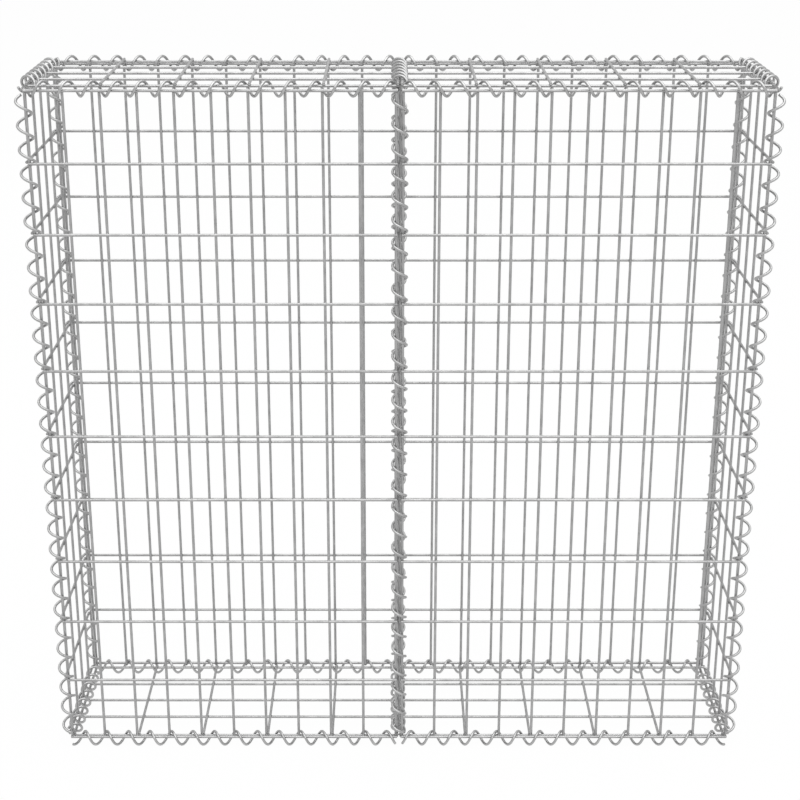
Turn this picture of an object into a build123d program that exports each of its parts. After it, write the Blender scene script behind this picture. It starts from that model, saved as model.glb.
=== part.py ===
from build123d import *
from math import atan2, ceil, cos, degrees, hypot, pi, radians, sin, sqrt
import os

# Empty welded-mesh gabion basket: two bays side by side, laced shut with spiral binders.
# X runs along the wall, Y through its depth with the front at -Y, and Z is up.
# The origin is on the ground, under the middle of the basket.

# Wire
panel_wire = 4.0  # diameter of the welded panels' wire
binder_wire = 4.0  # diameter of the spiral binders' wire
wire_end = 2.0  # from the last crossing to a wire's cut end

# Mesh
mesh_width = 50.0  # pitch of the uprights, and of the long wires of base and lid
mesh_height = 100.0  # pitch of the level wires
columns = 10  # meshes along one bay
rows = 10  # meshes up a panel
depth_columns = 4  # meshes through the depth
cross_step = 2  # mesh widths between the cross wires of base and lid

# How the panels stand to each other, centre to centre of their wires
end_margin = 1.5  # end panels' outer uprights, beyond the depth in whole meshes
cover_margin = 3.6  # outer long wires of base and lid, beyond it
wall_margin = 9.7  # uprights of front and back, beyond it
wall_seam = 9.2  # between the two bays' inner uprights
cover_seam = 5.6  # between the two bays' inner cross wires
end_lap = 2.4  # end panels' uprights, outside the front panels' outer uprights
base_lap = 3.3  # the base's long wires, below the front panels' bottom level wires
lid_lap = 4.7  # the lid's long wires, above the front panels' top level wires
divider_gap = 0.2  # left free over and under the divider's uprights

# Spiral binders
binder_diameter = 20.0  # across the middle of the wire
corner_allowance = 1.6  # the facetted coil's corners, outside that circle
corners_per_turn = 6
upright_turns = 3  # turns of an upright binder in one mesh height
long_turns = 1.5  # turns of a binder along X in one mesh width
short_turns = 2  # turns of a binder along Y in one mesh width
bottom_inset = 1.0  # from the ends of a bottom binder along X to the edge wires' centres
top_inset = 3.6  # from the ends of a top one, which pass the divider's top wire
short_inset = 5.0  # from the ends of a binder along Y to the mesh
upright_inset = 8.0  # from an upright binder's ends to the last level wires

# Where the binders' axes lie, from the middle of the two wires that each laces together
bottom_hang = 2.7
top_hang = 0.6
end_bottom_hang = 1.5
end_bottom_shift = 1.3  # inwards along X
corner_offset = 2.6
middle_top_lift = 3.8  # over the front panels' top wire
middle_bottom_drop = 0.6  # below the front panels' bottom wire
middle_bottom_shift = 0.9  # towards the divider's level wires

# From the outer upright to the first lowest point of a binder along X
front_bottom_lead = 5.2
back_bottom_lead = 5.7
front_top_lead = 7.4
back_top_lead = 6.5

# Angles at which a binder passes the level or crossing wires, clear of them
front_corner_pass_angle = 27
back_corner_pass_angle = 125
middle_pass_angle = 48
end_top_pass_angle = 119
end_bottom_pass_angle = 225

# Square bars with the cross-section of the round wire
square_share = sqrt(pi) / 2
bar = panel_wire * square_share
strand = binder_wire * square_share

bay_length = columns * mesh_width
height = rows * mesh_height
half_depth = depth_columns * mesh_width / 2
bay_middle = (wall_seam + bay_length) / 2
cover_middle = (cover_seam + bay_length) / 2
edge_x = bay_middle + bay_length / 2
cover_x = cover_middle + bay_length / 2
end_x = edge_x + end_lap
end_rail_x = end_x + bar
wall_y = half_depth + wall_margin
rail_y = wall_y + bar
end_y = half_depth + end_margin
cover_y = half_depth + cover_margin
coil_radius = binder_diameter / 2 + corner_allowance
step_angle = 360 / corners_per_turn
half_step = step_angle / 2
upright_pitch = mesh_height / upright_turns
long_pitch = mesh_width / long_turns
short_pitch = mesh_width / short_turns


def welded_panel(upright_places, rail_places):
    """Uprights along local Y and, on their +Z side, rails along local X, welded where they cross."""
    middle = (rail_places[0] + rail_places[-1]) / 2
    upright_length = rail_places[-1] - rail_places[0] + 2 * wire_end
    rail_length = upright_places[-1] - upright_places[0] + 2 * wire_end
    with BuildPart() as panel:
        with BuildSketch(Plane.XZ.offset(-middle)):
            with Locations(*[(x, 0) for x in upright_places]):
                Rectangle(bar, bar)
        extrude(amount=upright_length / 2, both=True)
        with BuildSketch(Plane.YZ):
            with Locations(*[(y, bar) for y in rail_places]):
                Rectangle(bar, bar)
        extrude(amount=rail_length / 2, both=True)
    return panel.part


def spiral_binder(length, inset, pitch, pass_angle, seat_angle, hand):
    """Coil about local Z from z = 0 up, right-handed for hand 1 and left-handed for -1.

    It would be at pass_angle at z = -inset, and its corners lie towards seat_angle.
    """
    start_angle = pass_angle + hand * 360 * inset / pitch
    travel = 360 * length / pitch
    first = (seat_angle - start_angle) * hand % step_angle
    corners = [first + i * step_angle for i in range(ceil(travel / step_angle))]
    inner = [turned for turned in corners if half_step / 2 < turned < travel - half_step / 2]
    points = []
    for turned in [0, *inner, travel]:
        angle = radians(start_angle + hand * turned)
        points.append((coil_radius * cos(angle), coil_radius * sin(angle), pitch * turned / 360))
    with BuildPart() as coil:
        with BuildLine() as path:
            Polyline(*points)
        with BuildSketch(Plane(origin=path.line @ 0, z_dir=path.line % 0)):
            Rectangle(strand, strand)
        sweep(transition=Transition.RIGHT)
    return coil.part


def seat(first_wire, second_wire, shift):
    """Axis of a binder, shifted square to the line between its two wires, and where its corners face."""
    across = second_wire[0] - first_wire[0]
    along = second_wire[1] - first_wire[1]
    span = hypot(across, along)
    x = (first_wire[0] + second_wire[0]) / 2 + shift * along / span
    y = (first_wire[1] + second_wire[1]) / 2 - shift * across / span
    square_angle = degrees(atan2(across, -along))
    spread = degrees(atan2(span / 2, abs(shift)))
    return x, y, square_angle + half_step * round(spread / half_step)


def write(label, shape, plane):
    """Place a piece and write it to its own file."""
    with BuildPart(plane) as piece:
        add(shape)
    piece.part.label = label
    export_step(piece.part, f"parts/{label}.step")
    return piece.part


def write_pair(label, shape, plane):
    """Write a piece at the left and its mirror image at the right."""
    left = write(f"{label}_left", shape, plane)
    with BuildPart() as piece:
        mirror(left, about=Plane.YZ)
    piece.part.label = f"{label}_right"
    export_step(piece.part, f"parts/{label}_right.step")


def long_binder(axis, inset, lead, hand):
    """Binder along X for one bay, at its lowest at lead from the outer upright."""
    pass_angle = -90 - hand * 360 * lead / long_pitch
    return spiral_binder(bay_length - 2 * inset, inset, long_pitch, pass_angle, axis[2], hand)


def short_binder(pass_angle, seat_angle, hand):
    """Binder along Y, from back to front."""
    length = 2 * half_depth - 2 * short_inset
    return spiral_binder(length, short_inset, short_pitch, pass_angle, seat_angle, hand)


def upright_binder(pass_angle, seat_angle, hand):
    """Binder from the bottom to the top."""
    length = height - 2 * upright_inset
    return spiral_binder(length, upright_inset, upright_pitch, pass_angle, seat_angle, hand)


os.makedirs("parts", exist_ok=True)

# The bottom binders along X carry the basket, so their lowest point is on the ground
bottom_front = seat((-rail_y, 0), (-cover_y, -base_lap), bottom_hang)
bottom_back = seat((rail_y, 0), (cover_y, -base_lap), -bottom_hang)
bottom_front_coil = long_binder(bottom_front, bottom_inset, front_bottom_lead, 1)
low_z = -(bottom_front[1] + bottom_front_coil.bounding_box().min.Y)
middle_z = low_z + height / 2
high_z = low_z + height

# Front and back, with the level wires outside
bay_places = [mesh_width * (i - columns / 2) for i in range(columns + 1)]
level_places = [mesh_height * (i - rows / 2) for i in range(rows + 1)]
bay_panel = welded_panel(bay_places, level_places)
write_pair("front_panel", bay_panel, Plane((-bay_middle, -wall_y, middle_z), (1, 0, 0), (0, -1, 0)))
write_pair("back_panel", bay_panel, Plane((-bay_middle, wall_y, middle_z), (-1, 0, 0), (0, 1, 0)))

# Ends, with the level wires outside
inner_places = [mesh_width * i - half_depth for i in range(1, depth_columns)]
end_places = [-end_y, *inner_places, end_y]
end_panel = welded_panel(end_places, level_places)
write_pair("end_panel", end_panel, Plane((-end_x, 0, middle_z), (0, -1, 0), (-1, 0, 0)))

# Base and lid, with the cross wires on top of the long ones
cover_places = [-cover_y, *inner_places, cover_y]
cross_places = bay_places[::cross_step]
cover = welded_panel(cover_places, cross_places)
write_pair("base", cover, Plane((-cover_middle, 0, low_z - base_lap), (0, -1, 0), (0, 0, 1)))
write_pair("lid", cover, Plane((-cover_middle, 0, high_z + lid_lap), (0, -1, 0), (0, 0, 1)))

# Divider, standing on the base's cross wires and under the lid's long wires
divider_low = bar + bar / 2 - base_lap + divider_gap + wire_end - height / 2
divider_high = lid_lap - bar / 2 - divider_gap - wire_end + height / 2
divider = welded_panel(end_places, [divider_low, *level_places[1:-1], divider_high])
write("divider_panel", divider, Plane((0, 0, middle_z), (0, -1, 0), (-1, 0, 0)))

# Binders along X
top_front = seat((-rail_y, 0), (-cover_y, lid_lap), top_hang)
top_back = seat((rail_y, 0), (cover_y, lid_lap), -top_hang)
long_binders = (
    ("bottom_front_binder", bottom_front, low_z, bottom_inset, front_bottom_lead, 1),
    ("bottom_back_binder", bottom_back, low_z, bottom_inset, back_bottom_lead, 1),
    ("top_front_binder", top_front, high_z, top_inset, front_top_lead, -1),
    ("top_back_binder", top_back, high_z, top_inset, back_top_lead, -1),
)
for name, axis, level, inset, lead, hand in long_binders:
    start = (inset - edge_x, axis[0], level + axis[1])
    write_pair(name, long_binder(axis, inset, lead, hand), Plane(start, (0, 1, 0), (1, 0, 0)))

# Binders along Y, at both ends and over and under the divider
end_top = seat((-end_rail_x, 0), (-cover_x, bar + lid_lap), top_hang)
end_bottom_rail = (end_bottom_shift - end_rail_x, 0)
end_bottom_cross = (end_bottom_shift - cover_x, bar - base_lap)
end_bottom = seat(end_bottom_rail, end_bottom_cross, end_bottom_hang)
middle_top = (0, middle_top_lift, step_angle)
middle_bottom = (-middle_bottom_shift, -middle_bottom_drop, step_angle)
short_start = half_depth - short_inset
short_binders = (
    ("end_top_binder", end_top, high_z, end_top_pass_angle, -1, write_pair),
    ("end_bottom_binder", end_bottom, low_z, end_bottom_pass_angle, 1, write_pair),
    ("divider_top_binder", middle_top, high_z, 90, -1, write),
    ("divider_bottom_binder", middle_bottom, low_z, -90, -1, write),
)
for name, axis, level, pass_angle, hand, write_out in short_binders:
    start = (axis[0], short_start, level + axis[1])
    write_out(name, short_binder(pass_angle, axis[2], hand), Plane(start, (1, 0, 0), (0, -1, 0)))

# Upright binders at the four corners
front_corner = seat((-edge_x, -wall_y), (-end_x, -end_y), -corner_offset)
back_corner = seat((-edge_x, wall_y), (-end_x, end_y), corner_offset)
start_z = low_z + upright_inset
corner_binders = (
    ("front_corner_binder", front_corner, front_corner_pass_angle),
    ("back_corner_binder", back_corner, back_corner_pass_angle),
)
for name, axis, pass_angle in corner_binders:
    write_pair(name, upright_binder(pass_angle, axis[2], -1), Plane((axis[0], axis[1], start_z)))

# Upright binders at the middle, as far from the divider's outer upright as from the walls' inner ones
middle_y = (wall_y**2 + (wall_seam / 2) ** 2 - end_y**2) / (2 * (wall_y - end_y))
front_coil = upright_binder(middle_pass_angle, 90, -1)
back_coil = upright_binder(-middle_pass_angle, 90, 1)
write("front_middle_binder", front_coil, Plane((0, -middle_y, start_z)))
write("back_middle_binder", back_coil, Plane((0, middle_y, start_z)))
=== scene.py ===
import math
import bpy
import numpy as np
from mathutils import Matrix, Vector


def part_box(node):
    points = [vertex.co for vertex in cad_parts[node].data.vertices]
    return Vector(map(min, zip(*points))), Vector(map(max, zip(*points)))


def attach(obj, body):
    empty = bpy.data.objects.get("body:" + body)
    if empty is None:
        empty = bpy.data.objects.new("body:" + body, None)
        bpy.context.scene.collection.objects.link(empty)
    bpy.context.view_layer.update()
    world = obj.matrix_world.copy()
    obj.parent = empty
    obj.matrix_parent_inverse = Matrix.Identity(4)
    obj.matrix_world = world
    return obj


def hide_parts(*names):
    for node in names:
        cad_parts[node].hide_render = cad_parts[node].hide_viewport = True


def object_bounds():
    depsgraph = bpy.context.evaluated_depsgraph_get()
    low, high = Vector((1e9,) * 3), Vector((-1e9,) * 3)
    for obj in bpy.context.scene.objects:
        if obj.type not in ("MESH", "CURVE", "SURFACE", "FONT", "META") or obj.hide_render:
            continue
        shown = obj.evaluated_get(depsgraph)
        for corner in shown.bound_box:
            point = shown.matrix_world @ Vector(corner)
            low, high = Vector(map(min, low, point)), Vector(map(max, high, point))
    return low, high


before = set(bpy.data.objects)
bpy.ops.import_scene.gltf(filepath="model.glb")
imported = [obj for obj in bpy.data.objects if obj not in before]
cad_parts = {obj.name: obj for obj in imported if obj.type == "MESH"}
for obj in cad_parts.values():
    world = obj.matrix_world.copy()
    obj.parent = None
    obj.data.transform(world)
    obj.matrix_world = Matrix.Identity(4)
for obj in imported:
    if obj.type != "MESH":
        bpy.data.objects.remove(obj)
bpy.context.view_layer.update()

mm = 0.001
axes = np.eye(3)
print("frame loaded:", len(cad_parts), "nodes")


# sRGB hex to linear: c/12.92 below 0.04045, ((c + 0.055)/1.055)^2.4 above
def hexToLinear(hexColour):
    srgb = np.array([int(hexColour[i:i + 2], 16) for i in (1, 3, 5)]) / 255
    linear = np.where(srgb <= 0.04045, srgb / 12.92, ((srgb + 0.055) / 1.055) ** 2.4)
    return (*linear.tolist(), 1.0)


# one node with its settings and its links: an input given as (node, socket) is linked, anything else is set
def addNode(tree, kind, settings=None, inputs=None):
    node = tree.nodes.new(kind)
    for key, value in (settings or {}).items():
        setattr(node, key, value)
    for key, value in (inputs or {}).items():
        if isinstance(value, tuple) and isinstance(value[0], bpy.types.Node):
            tree.links.new(value[0].outputs[value[1]], node.inputs[key])
        else:
            node.inputs[key].default_value = value
    return node


def newMaterial(name):
    material = bpy.data.materials.new(name)
    material.use_nodes = True
    material.node_tree.nodes.clear()
    return material, material.node_tree


def colourStops(ramp, stops):
    elements = ramp.color_ramp.elements
    elements[0].position, elements[0].color = stops[0][0], hexToLinear(stops[0][1])
    elements[1].position, elements[1].color = stops[-1][0], hexToLinear(stops[-1][1])
    for place, colour in stops[1:-1]:
        elements.new(place).color = hexToLinear(colour)


# Zinc on drawn steel wire

zinc = {
    "meshTones": ("#9F9F9F", "#AAAAAA", "#B5B5B5"),     # dull, usual and bright
    "spiralTones": ("#A5A5A5", "#B0B0B0", "#BBBBBB"),
    "weldTones": ("#949494", "#949494", "#A6A6A6"),
    "cloudSize": 18.0,              # mm, dull and bright clouds where the zinc ran and cooled
    "cloudDetail": (3.0, 0.55),     # steps of finer detail, and the weight of each
    "grainSize": 2.4,               # mm, the zinc's frosty grain; finer on the wire, drawn coarse so that it shows
    "grainDetail": (2.0, 0.6),
    "grainDepth": 0.12,             # mm
    "grainStrength": 0.35,
    "noiseRange": (0.3, 0.7),       # where nearly all of the noise lies
    "roughness": (0.32, 0.44),
    "metallic": 0.85,               # fairly new zinc: mostly bare metal, with a little grey patina
}


# hot-dip zinc on drawn wire: satin grey, clouded along the wire, with a frosty grain and no sharp reflections
def galvanisedWire(name, tones):
    material, tree = newMaterial(name)
    place = addNode(tree, "ShaderNodeTexCoord")
    clouds, grain = (addNode(tree, "ShaderNodeTexNoise", None, {
        "Vector": (place, "Object"), "Scale": 1 / (zinc[pattern + "Size"] * mm),
        "Detail": zinc[pattern + "Detail"][0], "Roughness": zinc[pattern + "Detail"][1]})
        for pattern in ("cloud", "grain"))
    low, high = zinc["noiseRange"]
    tone = addNode(tree, "ShaderNodeValToRGB", None, {"Fac": (clouds, "Fac")})
    colourStops(tone, tuple(zip((low, (low + high) / 2, high), tones)))
    frost = addNode(tree, "ShaderNodeMapRange", None, {
        "Value": (grain, "Fac"), "From Min": low, "From Max": high,
        "To Min": zinc["roughness"][0], "To Max": zinc["roughness"][1]})
    relief = addNode(tree, "ShaderNodeBump", None, {
        "Height": (grain, "Fac"), "Strength": zinc["grainStrength"], "Distance": zinc["grainDepth"] * mm})
    surface = addNode(tree, "ShaderNodeBsdfPrincipled", None, {
        "Base Color": (tone, "Color"), "Roughness": (frost, "Result"), "Normal": (relief, "Normal"),
        "Metallic": zinc["metallic"]})
    addNode(tree, "ShaderNodeOutputMaterial", None, {"Surface": (surface, "BSDF")})
    return material


meshWireZinc = galvanisedWire("hot dip galvanised mesh wire", zinc["meshTones"])
spiralWireZinc = galvanisedWire("galvanised spiral wire", zinc["spiralTones"])
weldZinc = galvanisedWire("zinc over spot welds", zinc["weldTones"])
print("materials done")


# Meshes from grids of rings

# quads between neighbouring rings, closed round the ring, and one face on each end ring;
# rings has the shape (count, ringsPerPiece, sides, 3)
def ringFaces(rings, firstIndex):
    count, ringCount, sides = rings.shape[:3]
    index = firstIndex + np.arange(count * ringCount * sides).reshape(count, ringCount, sides)
    turned = np.roll(index, -1, axis=2)
    quads = np.stack((index[:, :-1], turned[:, :-1], turned[:, 1:], index[:, 1:]), axis=-1).reshape(-1, 4)
    caps = np.concatenate((index[:, 0, ::-1], index[:, -1]))
    return quads.tolist() + caps.tolist()


# one object from several ring grids, each with its own material slot
def pieceFromRings(name, ringSets, materials):
    verts, faces, slots, used = [], [], [], 0
    for slot, rings in enumerate(ringSets):
        newFaces = ringFaces(rings, used)
        verts.append(rings.reshape(-1, 3))
        faces += newFaces
        slots += [slot] * len(newFaces)
        used += rings[..., 0].size
    mesh = bpy.data.meshes.new(name)
    mesh.from_pydata(np.concatenate(verts), [], faces)
    mesh.polygons.foreach_set("material_index", slots)
    mesh.polygons.foreach_set("use_smooth", [len(face) == 4 for face in faces])     # flat end caps
    for material in materials:
        mesh.materials.append(material)
    mesh.validate()
    piece = bpy.data.objects.new(name, mesh)
    bpy.context.scene.collection.objects.link(piece)
    return piece


def standFor(piece, node):
    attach(piece, "root")
    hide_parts(node)


def boxCorners(node):
    return (np.array(corner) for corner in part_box(node))


# angles round a ring, without the last, which is the first again
def roundAngles(sides):
    return np.linspace(0, 2 * np.pi, sides, endpoint=False)


# Welded mesh panels

meshPanel = {
    "wire": 4.0,            # mm, over the zinc
    "wireEnd": 2.0,         # mm, from the last weld to the cut end
    "uprightPitch": 50.0,   # mm
    "levelPitch": 100.0,    # mm
    "sides": 14,
    "cutChamfer": 0.5,      # mm, the rounded rim of a cut end
    "rimRings": ((0, 1), (0.3, 0.3), (1, 0), (2, 0)),   # chamfers from the end, and chamfers off the radius
    "weldRadius": 3.1,      # mm, the metal squeezed out at a spot weld
    "weldHalfHeight": 1.0,  # mm
    "weldSides": 8,
    "weldRings": 4,
    "weldPole": 0.12,       # share of the half turn that the flat at either pole takes
}

# node: the way the first wires run, the way the second wires run, and the side that the second ones are on
panelLayout = {
    "front_panel_left": (2, 0, (1, -1)), "front_panel_right": (2, 0, (1, -1)),
    "back_panel_left": (2, 0, (1, 1)), "back_panel_right": (2, 0, (1, 1)),
    "end_panel_left": (2, 1, (0, -1)), "end_panel_right": (2, 1, (0, 1)),
    "divider_panel": (2, 1, (0, -1)),
    "base_left": (0, 1, (2, 1)), "base_right": (0, 1, (2, 1)),
    "lid_left": (0, 1, (2, 1)), "lid_right": (0, 1, (2, 1)),
}
wallLow, wallHigh = boxCorners("front_panel_left")
levelMiddle = (wallLow[2] + wallHigh[2]) / 2


# places of the wires across a panel: the outer two by the panel's edges, the rest at the pitch about its middle
def wirePlaces(low, high, pitch, middle):
    outer = np.array((low, high)) + np.array((1, -1)) * meshPanel["wireEnd"] * mm
    meshCount = round((outer[1] - outer[0]) / pitch)
    inner = middle + pitch * (np.arange(1, meshCount) - meshCount / 2)
    return np.concatenate((outer[:1], inner, outer[1:]))


# straight wires: starts + s * along + r(s) * (cos(a) * across + sin(a) * up), with the rim rounded at the cut
# ends and one more ring behind each rim, which keeps the shading even along the wire
def straightWires(starts, lengths, along, across):
    radius, chamfer = meshPanel["wire"] / 2 * mm, meshPanel["cutChamfer"] * mm
    up = np.cross(along, across)
    angle = roundAngles(meshPanel["sides"])
    circle = np.cos(angle)[:, None] * across + np.sin(angle)[:, None] * up
    fromEnd, narrower = chamfer * np.array(meshPanel["rimRings"]).T
    reach = np.concatenate((0 * lengths[:, None] + fromEnd, lengths[:, None] - fromEnd[::-1]), axis=1)
    width = radius - np.concatenate((narrower, narrower[::-1]))
    return (starts[:, None, None] + reach[:, :, None, None] * along
            + width[None, :, None, None] * circle[None, None])


# flattened beads: centre + a * sin(t) * (cos(b) * first + sin(b) * second) - h * cos(t) * normal,
# with t from pole to pole
def weldBeads(centres, first, second, normal):
    pole = meshPanel["weldPole"]
    polar = np.linspace(pole * np.pi, (1 - pole) * np.pi, meshPanel["weldRings"])
    angle = roundAngles(meshPanel["weldSides"])
    flat = np.cos(angle)[:, None] * first + np.sin(angle)[:, None] * second
    ring = meshPanel["weldRadius"] * mm * np.sin(polar)[:, None, None] * flat[None]
    rise = -meshPanel["weldHalfHeight"] * mm * np.cos(polar)[:, None, None] * normal
    return centres[:, None, None] + (ring + rise)[None]


# two layers of wires, and a bead at each crossing between them
def weldedPanel(node, firstWay, secondWay, side):
    low, high = boxCorners(node)
    middle = (low + high) / 2
    middle[2] = levelMiddle if firstWay == 2 else middle[2]
    normalWay, sign = side
    firstPitch = meshPanel["uprightPitch"] * mm
    secondPitch = meshPanel["levelPitch"] * mm
    firstPlaces = wirePlaces(low[secondWay], high[secondWay], firstPitch, middle[secondWay])
    secondPlaces = wirePlaces(low[firstWay], high[firstWay], secondPitch, middle[firstWay])
    layer = (high[normalWay] - low[normalWay]) / 4      # from the panel's middle plane to either wire's centre
    plane = (low[normalWay] + high[normalWay]) / 2

    def rows(places, way, runWay, level):
        starts = np.zeros((len(places), 3))
        starts[:, way] = places
        starts[:, runWay] = low[runWay]
        starts[:, normalWay] = level
        lengths = np.full(len(places), high[runWay] - low[runWay])
        return straightWires(starts, lengths, axes[runWay], axes[normalWay])

    firstWires = rows(firstPlaces, secondWay, firstWay, plane - sign * layer)
    secondWires = rows(secondPlaces, firstWay, secondWay, plane + sign * layer)
    crossing = np.zeros((len(firstPlaces), len(secondPlaces), 3))
    crossing[..., secondWay] = firstPlaces[:, None]
    crossing[..., firstWay] = secondPlaces[None]
    crossing[..., normalWay] = plane
    second = np.cross(axes[normalWay], axes[firstWay])
    beads = weldBeads(crossing.reshape(-1, 3), axes[firstWay], second, axes[normalWay])
    wires = np.concatenate((firstWires, secondWires))
    piece = pieceFromRings(node + "_wires", (wires, beads), (meshWireZinc, weldZinc))
    standFor(piece, node)


for node, (firstWay, secondWay, side) in panelLayout.items():
    weldedPanel(node, firstWay, secondWay, side)
print("panels done:", len(panelLayout))


# Spiral binders

spiral = {
    "wire": 4.0,                # mm, over the zinc
    "diameter": 20.0,           # mm, across the middle of the wire
    "sides": 12,
    "stepsPerTurn": 40,
    "longPitch": 50 / 1.5,      # mm a turn, along the wall
    "uprightPitch": 100 / 3,    # mm a turn, up the wall
    "shortPitch": 25.0,         # mm a turn, through the wall
    "bottomInset": 1.0,         # mm, from the edge wires to the spiral's ends
    "topInset": 3.6,
    "shortInset": 5.0,
    "uprightInset": 8.0,
    "depth": 200.0,             # mm, whole meshes through the wall
    "dividerHand": -1,
    "uprightHand": -1,
}

# along the wall: which inset, mm from the outer upright to the first lowest point, and the hand in the left bay
longBinders = {
    "bottom_front_binder": ("bottomInset", 5.2, 1), "bottom_back_binder": ("bottomInset", 5.7, 1),
    "top_front_binder": ("topInset", 7.4, -1), "top_back_binder": ("topInset", 6.5, -1),
}
# through the wall: the angle beside a wire that crosses, from inwards and upwards, and the hand in the left bay
endBinders = {"end_top_binder": (119, -1), "end_bottom_binder": (225, 1)}
dividerBinders = {"divider_top_binder": 90, "divider_bottom_binder": -90}
# upright: the angle beside a level wire, and for the middle ones the way into the wall
cornerBinders = {"front_corner_binder": 27, "back_corner_binder": 125}
middleBinders = {"front_middle_binder": (48, 1), "back_middle_binder": (48, -1)}
bays = {"left": 1, "right": -1}

wireEnd = meshPanel["wireEnd"] * mm
edgeX = wallLow[0] + wireEnd                            # outer upright of the left bay
bayLength = wallHigh[0] - wallLow[0] - 2 * wireEnd
lowZ = wallLow[2] + wireEnd                             # lowest level wires
wallHeight = wallHigh[2] - wallLow[2] - 2 * wireEnd
wallDepth = spiral["depth"] * mm


# helix tube: p = start + R * (cos(t) * out + sin(t) * up) + s * along, with
# t = angle + hand * 2 * pi * (s + inset) / pitch;
# the wire's circle lies in the plane of the outward line and of tangent x outward line
def helixTube(start, length, inset, pitch, passAngle, hand, out, up, along):
    radius, wire = spiral["diameter"] / 2 * mm, spiral["wire"] / 2 * mm
    count = int(length / pitch * spiral["stepsPerTurn"]) + 1
    s = np.linspace(0, length, count)
    turn = hand * 2 * np.pi / pitch
    t = np.radians(passAngle) + turn * (s + inset)
    cosT, sinT = np.cos(t)[:, None], np.sin(t)[:, None]
    outward = cosT * out + sinT * up
    path = start + radius * outward + s[:, None] * along
    tangent = radius * turn * (cosT * up - sinT * out) + along
    tangent /= np.linalg.norm(tangent, axis=1, keepdims=True)
    beside = np.cross(tangent, outward)
    angle = roundAngles(spiral["sides"])
    circle = np.cos(angle)[None, :, None] * outward[:, None] + np.sin(angle)[None, :, None] * beside[:, None]
    return (path[:, None] + wire * circle)[None]


# a spiral about the middle of its node's box, from the edge wire at one end of the span to that at the other
def spiralBinder(node, edge, span, insetName, pitchName, passAngle, hand, out, up, along):
    inset, pitch = spiral[insetName] * mm, spiral[pitchName] * mm
    low, high = boxCorners(node)
    start = np.where(along == 0, (low + high) / 2, edge + along * inset)
    rings = helixTube(start, span - 2 * inset, inset, pitch, passAngle, hand, out, up, along)
    piece = pieceFromRings(node + "_spiral", (rings,), (spiralWireZinc,))
    standFor(piece, node)


for bay, sign in bays.items():
    inwards = sign * axes[0]
    for name, (insetName, lead, hand) in longBinders.items():
        passAngle = -90 - hand * 360 * lead / spiral["longPitch"]
        spiralBinder(f"{name}_{bay}", sign * edgeX, bayLength, insetName, "longPitch", passAngle, hand,
                     axes[1], axes[2], inwards)
    for name, (passAngle, hand) in endBinders.items():
        spiralBinder(f"{name}_{bay}", wallDepth / 2, wallDepth, "shortInset", "shortPitch", passAngle, hand,
                     inwards, axes[2], -axes[1])
    for name, passAngle in cornerBinders.items():
        spiralBinder(f"{name}_{bay}", lowZ, wallHeight, "uprightInset", "uprightPitch", passAngle,
                     spiral["uprightHand"], inwards, axes[1], axes[2])
for name, passAngle in dividerBinders.items():
    spiralBinder(name, wallDepth / 2, wallDepth, "shortInset", "shortPitch", passAngle,
                 spiral["dividerHand"], axes[0], axes[2], -axes[1])
for name, (passAngle, backSign) in middleBinders.items():
    spiralBinder(name, lowZ, wallHeight, "uprightInset", "uprightPitch", passAngle,
                 spiral["uprightHand"], axes[0], backSign * axes[1], axes[2])
print("spiral binders done")


# Studio

studio = {
    "floorColour": "#F4F4F3",
    "floorWhite": 0.975,        # share of plain white that the camera sees in the floor, over its shaded colour
    "floorHalf": 300.0,         # m
    "floorFade": (11.5, 32.0),  # m, where the floor runs from white into the backdrop's shade
    "skyLight": 0.5,            # strength of the backdrop as light, against 1 as it is seen
    "horizonShade": 0.8,        # strength of backdrop and floor at the horizon, against 1 overhead and near by
    "whiteFrom": 0.95,          # sine of the height above the horizon from which it is plain white
    "keyPlace": (0.8, -1.3, 7.2), "keyAim": (0, 0, 0.5), "keySize": 10.0,   # m, a wide soft box overhead
    "keyPower": 560.0,          # W
}
plainWhite = (1, 1, 1, 1)


# 1 for what the camera, metal and glass see, and 0 for light on its way to the object
def seenByView(tree):
    path = addNode(tree, "ShaderNodeLightPath")
    seen = addNode(tree, "ShaderNodeMath", {"operation": "MAXIMUM"}, {
        0: (path, "Is Camera Ray"), 1: (path, "Is Glossy Ray")})
    return addNode(tree, "ShaderNodeMath", {"operation": "MAXIMUM"}, {
        0: (seen, "Value"), 1: (path, "Is Transmission Ray")})


# the backdrop: white overhead, a little shaded towards the horizon
world = bpy.data.worlds.new("white studio")
bpy.context.scene.world = world
world.use_nodes = True
sky = world.node_tree
sky.nodes.clear()
seen = seenByView(sky)
strength = addNode(sky, "ShaderNodeMapRange", None, {
    "Value": (seen, "Value"), "To Min": studio["skyLight"], "To Max": 1.0})
place = addNode(sky, "ShaderNodeTexCoord")
height = addNode(sky, "ShaderNodeSeparateXYZ", None, {"Vector": (place, "Generated")})
shade = addNode(sky, "ShaderNodeMapRange", {"interpolation_type": "SMOOTHSTEP"}, {
    "Value": (height, "Z"), "From Min": 0.0, "From Max": studio["whiteFrom"],
    "To Min": studio["horizonShade"], "To Max": 1.0})
shaded = addNode(sky, "ShaderNodeMath", {"operation": "MULTIPLY"}, {
    0: (strength, "Result"), 1: (shade, "Result")})
glow = addNode(sky, "ShaderNodeBackground", None, {"Color": plainWhite, "Strength": (shaded, "Value")})
addNode(sky, "ShaderNodeOutputWorld", None, {"Surface": (glow, "Background")})

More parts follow.
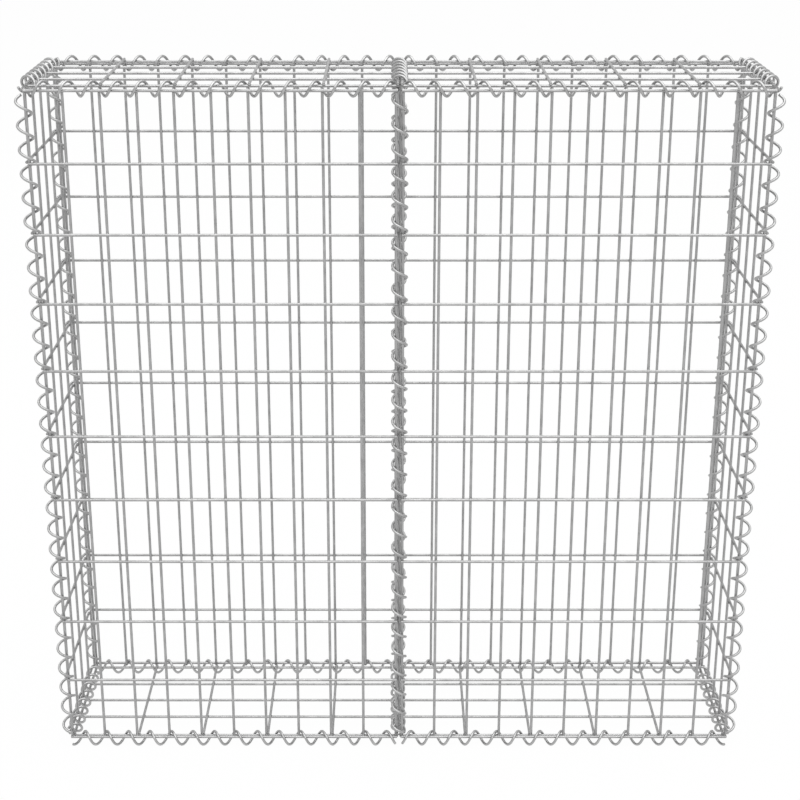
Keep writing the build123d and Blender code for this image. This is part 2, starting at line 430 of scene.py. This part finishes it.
# the floor: white paper that keeps a faint shadow and runs into the backdrop's shade far away
floorMaterial, tree = newMaterial("white paper floor")
seen = seenByView(tree)
share = addNode(tree, "ShaderNodeMath", {"operation": "MULTIPLY"}, {
    0: (seen, "Value"), 1: studio["floorWhite"]})
paper = addNode(tree, "ShaderNodeBsdfDiffuse", None, {"Color": hexToLinear(studio["floorColour"])})
place = addNode(tree, "ShaderNodeTexCoord")
distance = addNode(tree, "ShaderNodeVectorMath", {"operation": "LENGTH"}, {0: (place, "Object")})
fade = addNode(tree, "ShaderNodeMapRange", {"interpolation_type": "SMOOTHSTEP"}, {
    "Value": (distance, "Value"), "From Min": studio["floorFade"][0], "From Max": studio["floorFade"][1],
    "To Min": 1.0, "To Max": studio["horizonShade"]})
white = addNode(tree, "ShaderNodeEmission", None, {"Color": plainWhite, "Strength": (fade, "Result")})
both = addNode(tree, "ShaderNodeMixShader", None, {
    "Fac": (share, "Value"), 1: (paper, "BSDF"), 2: (white, "Emission")})
addNode(tree, "ShaderNodeOutputMaterial", None, {"Surface": (both, "Shader")})

half = studio["floorHalf"]
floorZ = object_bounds()[0][2]      # under the lowest turns of the bottom spirals
floorCorners = [(-half, -half, floorZ), (half, -half, floorZ), (half, half, floorZ), (-half, half, floorZ)]
floorMesh = bpy.data.meshes.new("floor")
floorMesh.from_pydata(floorCorners, [], [(0, 1, 2, 3)])
floorMesh.materials.append(floorMaterial)
floor = bpy.data.objects.new("floor", floorMesh)
bpy.context.scene.collection.objects.link(floor)

lamp = bpy.data.lights.new("key", "AREA")
lamp.shape, lamp.size, lamp.energy = "SQUARE", studio["keySize"], studio["keyPower"]
key = bpy.data.objects.new("key", lamp)
bpy.context.scene.collection.objects.link(key)
key.location = studio["keyPlace"]
aim = np.array(studio["keyAim"]) - np.array(studio["keyPlace"])
tilt, heading = math.atan2(math.hypot(aim[0], aim[1]), -aim[2]), math.atan2(aim[1], aim[0])
key.rotation_euler = (tilt, 0, heading - math.pi / 2)

# Camera, at the photograph's place, from the rows and columns of the wires in it

view = {
    "place": (-12.84, -2308.0, 1385.1),     # mm, from the middle of the bottom level wires
    "pitchDown": 19.638,                    # degrees
    "focalPixels": 1637.5, "centrePixel": (390.46, 370.22), "imagePixels": 800,
    "sensor": 36.0,                         # mm
    "clipEnd": 2000.0,                      # m, past the floor's edge
}
lens = bpy.data.cameras.new("camera")
lens.sensor_width = view["sensor"]
lens.lens = view["focalPixels"] / view["imagePixels"] * view["sensor"]
lens.shift_x = 0.5 - view["centrePixel"][0] / view["imagePixels"]
lens.shift_y = view["centrePixel"][1] / view["imagePixels"] - 0.5
lens.clip_end = view["clipEnd"]
camera = bpy.data.objects.new("camera", lens)
bpy.context.scene.collection.objects.link(camera)
camera.location = np.array(view["place"]) * mm + np.array((0, 0, lowZ))
camera.rotation_euler = (math.radians(90 - view["pitchDown"]), 0, 0)
bpy.context.scene.camera = camera
bpy.context.scene.view_settings.view_transform = "Standard"
print("studio and camera done")
